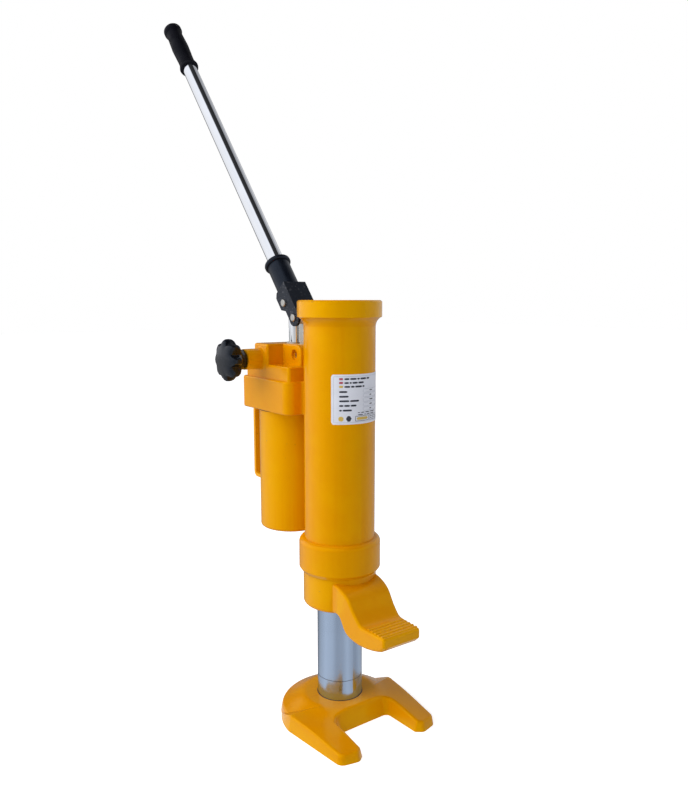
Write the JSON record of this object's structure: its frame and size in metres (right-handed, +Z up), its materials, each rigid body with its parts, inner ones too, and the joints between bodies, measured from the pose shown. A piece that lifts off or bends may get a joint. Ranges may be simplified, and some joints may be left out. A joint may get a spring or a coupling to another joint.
{
  "type": "hydraulic toe jack",
  "caption": "Hydraulic toe jack: horseshoe base, standing ram, climbing cylinder with a lifting toe, pump block, oil tank, lever and release knob.",
  "frame": {"origin": "on the floor, on the axis of the ram", "axes": "+Z up, +X along the lifting toe, the pump and lever on the -X side, the release knob on the -Y side"},
  "size_m": [0.6424, 0.1926, 1.0196],
  "materials": {
    "yellow_paint": "gloss enamel over a casting",
    "chrome": "hard chrome, ground",
    "black_paint": "semi-gloss black paint",
    "black_plastic": "moulded, slightly glossy",
    "black_rubber": "moulded, satin",
    "zinc_steel": "zinc plated",
    "machined_steel": "machined",
    "bronze": "turned",
    "seal_rubber": "matt",
    "label": "satin film"
  },
  "bodies": {
    "base": {"base_casting": "yellow_paint"},
    "column": {"ram": "chrome", "foot_washer": "zinc_steel", "foot_screw": "zinc_steel", "ram_stop_ring": "machined_steel", "ram_guide_band": "seal_rubber", "ram_ring_nut": "machined_steel"},
    "cylinder": {"cylinder_housing": "yellow_paint", "gland_bush": "bronze", "gland_o_ring": "seal_rubber", "rod_seal": "seal_rubber", "rod_wiper": "seal_rubber", "lock_collar": "yellow_paint", "toe_casting": "yellow_paint", "oil_tank": "yellow_paint", "tank_gasket": "seal_rubber", "suction_pipe": "machined_steel", "suction_strainer": "bronze", "filler_plug": "zinc_steel", "filler_seal": "bronze", "pump_gland_nut": "zinc_steel", "pump_seal": "seal_rubber", "suction_ball_stop": "machined_steel", "delivery_spring": "machined_steel", "delivery_plug": "zinc_steel", "relief_ball": "machined_steel", "relief_spring": "machined_steel", "relief_screw": "zinc_steel", "release_gland_nut": "zinc_steel", "release_ball": "machined_steel", "link_lower_pin": "zinc_steel", "rating_plate": "label", "carry_handle": "yellow_paint", "carry_handle_screws": "zinc_steel"},
    "suction_ball": {"suction_ball": "machined_steel"},
    "delivery_ball": {"delivery_ball": "machined_steel"},
    "release_valve": {"release_spindle": "zinc_steel", "release_knob": "black_plastic", "knob_screw": "zinc_steel"},
    "pump_plunger": {"pump_plunger": "chrome"},
    "link": {"link": "zinc_steel"},
    "lever": {"lever_fork": "black_paint", "lever_socket": "black_paint", "plunger_pin": "zinc_steel", "link_top_pin": "zinc_steel", "pin_circlips": "zinc_steel"},
    "handle": {"handle_tube": "chrome", "handle_grip": "black_rubber"}
  },
  "joints": [
    {"name": "base_swivel", "type": "hinge", "parent": "base", "child": "column", "pos_m": [0, 0, 0.012], "axis": [0, 0, 1], "range_deg": [-3.5, 5.5]},
    {"name": "lift", "type": "slide", "parent": "column", "child": "cylinder", "axis": [0, 0, 1], "range_m": [-0.128, 0.102]},
    {"name": "link_swing", "type": "hinge", "parent": "cylinder", "child": "link", "pos_m": [-0.078, 0, 0.478], "axis": [0, 1, 0], "range_deg": [-1.8, 9.4]},
    {"name": "lever_swing", "type": "hinge", "parent": "link", "child": "lever", "pos_m": [-0.082, 0, 0.5275], "axis": [0, -1, 0], "range_deg": [-9.6, 55.2]},
    {"name": "plunger_stroke", "type": "slide", "parent": "cylinder", "child": "pump_plunger", "axis": [0, 0, 1], "range_m": [-0.0235, 0.0045]},
    {"name": "handle_pull", "type": "slide", "parent": "lever", "child": "handle", "axis": [-0.6481, 0, 0.7615], "range_m": [0, 0.052]},
    {"name": "release_turn", "type": "hinge", "parent": "cylinder", "child": "release_valve", "pos_m": [-0.126, -0.08, 0.471], "axis": [0, -1, 0], "range_deg": [0, 360]},
    {"name": "suction_ball_lift", "type": "slide", "parent": "cylinder", "child": "suction_ball", "axis": [0, 0, 1], "range_m": [0, 0.0012]},
    {"name": "delivery_ball_lift", "type": "slide", "parent": "cylinder", "child": "delivery_ball", "axis": [0, 0, 1], "range_m": [0, 0.0012], "deforming": ["delivery_spring"]}
  ],
  "couplings": [
    {"joint": "link_swing", "follows": "lever_swing", "ratio": 0.16667},
    {"joint": "plunger_stroke", "follows": "lever_swing", "m_per_rad": -0.023873}
  ]
}
